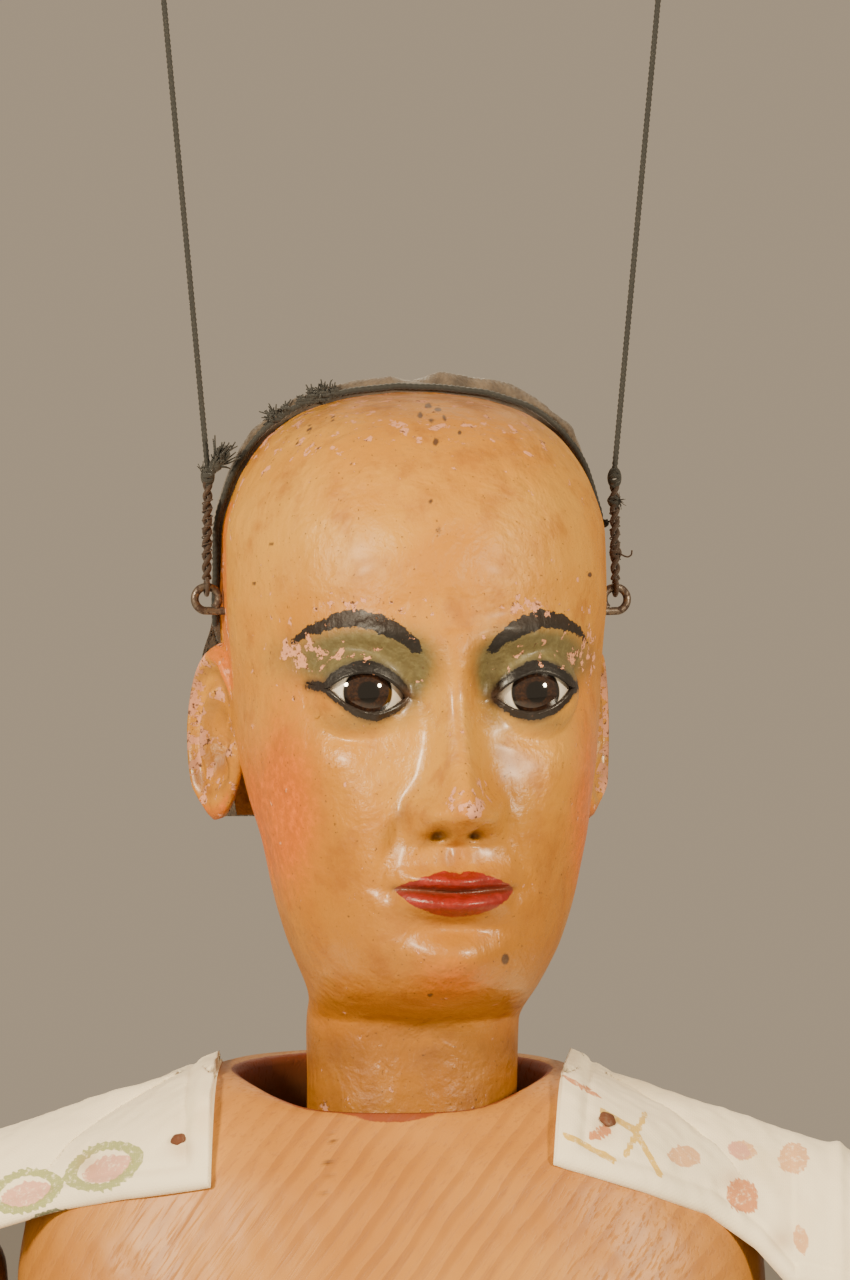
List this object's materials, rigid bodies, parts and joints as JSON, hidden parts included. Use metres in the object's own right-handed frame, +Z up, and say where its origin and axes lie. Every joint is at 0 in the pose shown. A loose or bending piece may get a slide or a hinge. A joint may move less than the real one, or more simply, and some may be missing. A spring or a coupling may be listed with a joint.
{
  "type": "marionette puppet",
  "caption": "Carved wooden marionette hung on two head strings, with hooked temples, glass eyes, a socketed neck and hinged limbs.",
  "frame": {"origin": "midway between the insides of the two tied loops that the head strings end in, where the figure is hung", "axes": "+Z up along the hanging line; the chest faces -Y, so the figure's own left is +X"},
  "size_m": [0.2264, 0.1077, 0.91],
  "materials": {
    "painted_skin": "glossy varnished ochre skin paint over wood, chipped and rouged",
    "pale_wood": "raw pale softwood, open grain",
    "dark_wood": "dark stained wood, dull",
    "shoe_paint": "black-brown shoe paint over wood, satin",
    "cap_cloth": "dusty grey-brown wig-base cloth",
    "black_cord": "waxed dark braided cord",
    "printed_cotton": "cream cotton with a faded leaf print",
    "dark_wire": "blackened iron wire",
    "steel_wire": "dull drawn steel wire",
    "rusty_tack": "rusted tack heads",
    "dark_glass": "opaque dark brown glass with a white",
    "eye_putty": "dry putty"
  },
  "bodies": {
    "strings": {"string_right": "black_cord", "string_loop_right": "black_cord", "string_knot_right": "black_cord", "hook_link_right": "dark_wire", "string_left": "black_cord", "string_loop_left": "black_cord", "string_knot_left": "black_cord", "hook_link_left": "dark_wire"},
    "head": {"head_front": "painted_skin", "head_back": "painted_skin", "cap_cloth": "cap_cloth", "cap_edge_cord": "black_cord", "glass_eye_right": "dark_glass", "eye_setting_right": "eye_putty", "temple_hook_right": "dark_wire", "glass_eye_left": "dark_glass", "eye_setting_left": "eye_putty", "temple_hook_left": "dark_wire"},
    "neck_swivel": {"neck_eye": "steel_wire"},
    "torso": {"torso": "pale_wood", "neck_pin": "steel_wire", "waist_eye_upper": "steel_wire", "shoulder_strap_right": "printed_cotton", "shoulder_strap_left": "printed_cotton", "strap_tack_right_inner": "rusty_tack", "strap_tack_right_outer": "rusty_tack", "strap_tack_left_inner": "rusty_tack", "strap_tack_left_middle": "rusty_tack", "strap_tack_left_outer": "rusty_tack"},
    "pelvis": {"pelvis": "pale_wood", "waist_eye_lower": "steel_wire", "hip_eye_upper_right": "steel_wire", "hip_eye_upper_left": "steel_wire"},
    "upper_arm_right": {"upper_arm_right": "dark_wood", "strap_flap_right": "printed_cotton", "elbow_pin_right": "steel_wire"},
    "forearm_right": {"forearm_right": "dark_wood", "wrist_pin_right": "steel_wire"},
    "hand_right": {"hand_right": "painted_skin"},
    "thigh_right": {"hip_eye_lower_right": "steel_wire", "thigh_right": "pale_wood", "knee_pin_right": "steel_wire"},
    "shin_right": {"shin_right": "pale_wood", "ankle_pin_right": "steel_wire"},
    "foot_right": {"foot_right": "shoe_paint"},
    "upper_arm_left": {"upper_arm_left": "dark_wood", "strap_flap_left": "printed_cotton", "elbow_pin_left": "steel_wire"},
    "forearm_left": {"forearm_left": "dark_wood", "wrist_pin_left": "steel_wire"},
    "hand_left": {"hand_left": "painted_skin"},
    "thigh_left": {"hip_eye_lower_left": "steel_wire", "thigh_left": "pale_wood", "knee_pin_left": "steel_wire"},
    "shin_left": {"shin_left": "pale_wood", "ankle_pin_left": "steel_wire"},
    "foot_left": {"foot_left": "shoe_paint"}
  },
  "joints": [
    {"name": "head_nod", "type": "hinge", "parent": "strings", "child": "head", "pos_m": [0, 0, -0.128], "axis": [0.9848, 0.1736, 0], "range_deg": [-20, 25]},
    {"name": "head_turn", "type": "hinge", "parent": "head", "child": "neck_swivel", "pos_m": [0, 0, -0.262], "axis": [0, 0, 1], "range_deg": [-25, 45]},
    {"name": "neck_swing", "type": "hinge", "parent": "neck_swivel", "child": "torso", "pos_m": [0, 0, -0.2628], "axis": [-1, 0, 0], "range_deg": [-6, 8]},
    {"name": "waist_bend", "type": "hinge", "parent": "torso", "child": "pelvis", "pos_m": [-0.004, 0, -0.4016], "axis": [-1, 0, 0], "range_deg": [-20, 30]},
    {"name": "shoulder_swing_right", "type": "hinge", "parent": "torso", "child": "upper_arm_right", "pos_m": [-0.1, 0, -0.266], "axis": [-1, 0, 0], "range_deg": [-35, 100]},
    {"name": "elbow_bend_right", "type": "hinge", "parent": "upper_arm_right", "child": "forearm_right", "pos_m": [-0.1, 0, -0.393], "axis": [-1, 0, 0], "range_deg": [0, 90]},
    {"name": "wrist_flap_right", "type": "hinge", "parent": "forearm_right", "child": "hand_right", "pos_m": [-0.1, 0, -0.498], "axis": [-1, 0, 0], "range_deg": [-40, 40]},
    {"name": "hip_swing_right", "type": "hinge", "parent": "pelvis", "child": "thigh_right", "pos_m": [-0.029, 0, -0.4798], "axis": [-1, 0, 0], "range_deg": [-20, 65]},
    {"name": "knee_bend_right", "type": "hinge", "parent": "thigh_right", "child": "shin_right", "pos_m": [-0.029, -0.002, -0.6784], "axis": [1, 0, 0], "range_deg": [0, 90]},
    {"name": "ankle_lift_right", "type": "hinge", "parent": "shin_right", "child": "foot_right", "pos_m": [-0.029, 0.005, -0.8684], "axis": [-1, 0, 0], "range_deg": [0, 30]},
    {"name": "shoulder_swing_left", "type": "hinge", "parent": "torso", "child": "upper_arm_left", "pos_m": [0.092, 0, -0.266], "axis": [-1, 0, 0], "range_deg": [-35, 100]},
    {"name": "elbow_bend_left", "type": "hinge", "parent": "upper_arm_left", "child": "forearm_left", "pos_m": [0.092, 0, -0.393], "axis": [-1, 0, 0], "range_deg": [0, 90]},
    {"name": "wrist_flap_left", "type": "hinge", "parent": "forearm_left", "child": "hand_left", "pos_m": [0.092, 0, -0.498], "axis": [-1, 0, 0], "range_deg": [-40, 40]},
    {"name": "hip_swing_left", "type": "hinge", "parent": "pelvis", "child": "thigh_left", "pos_m": [0.021, 0, -0.4798], "axis": [-1, 0, 0], "range_deg": [-20, 65]},
    {"name": "knee_bend_left", "type": "hinge", "parent": "thigh_left", "child": "shin_left", "pos_m": [0.021, -0.002, -0.6784], "axis": [1, 0, 0], "range_deg": [0, 90]},
    {"name": "ankle_lift_left", "type": "hinge", "parent": "shin_left", "child": "foot_left", "pos_m": [0.021, 0.005, -0.8684], "axis": [-1, 0, 0], "range_deg": [0, 30]}
  ]
}
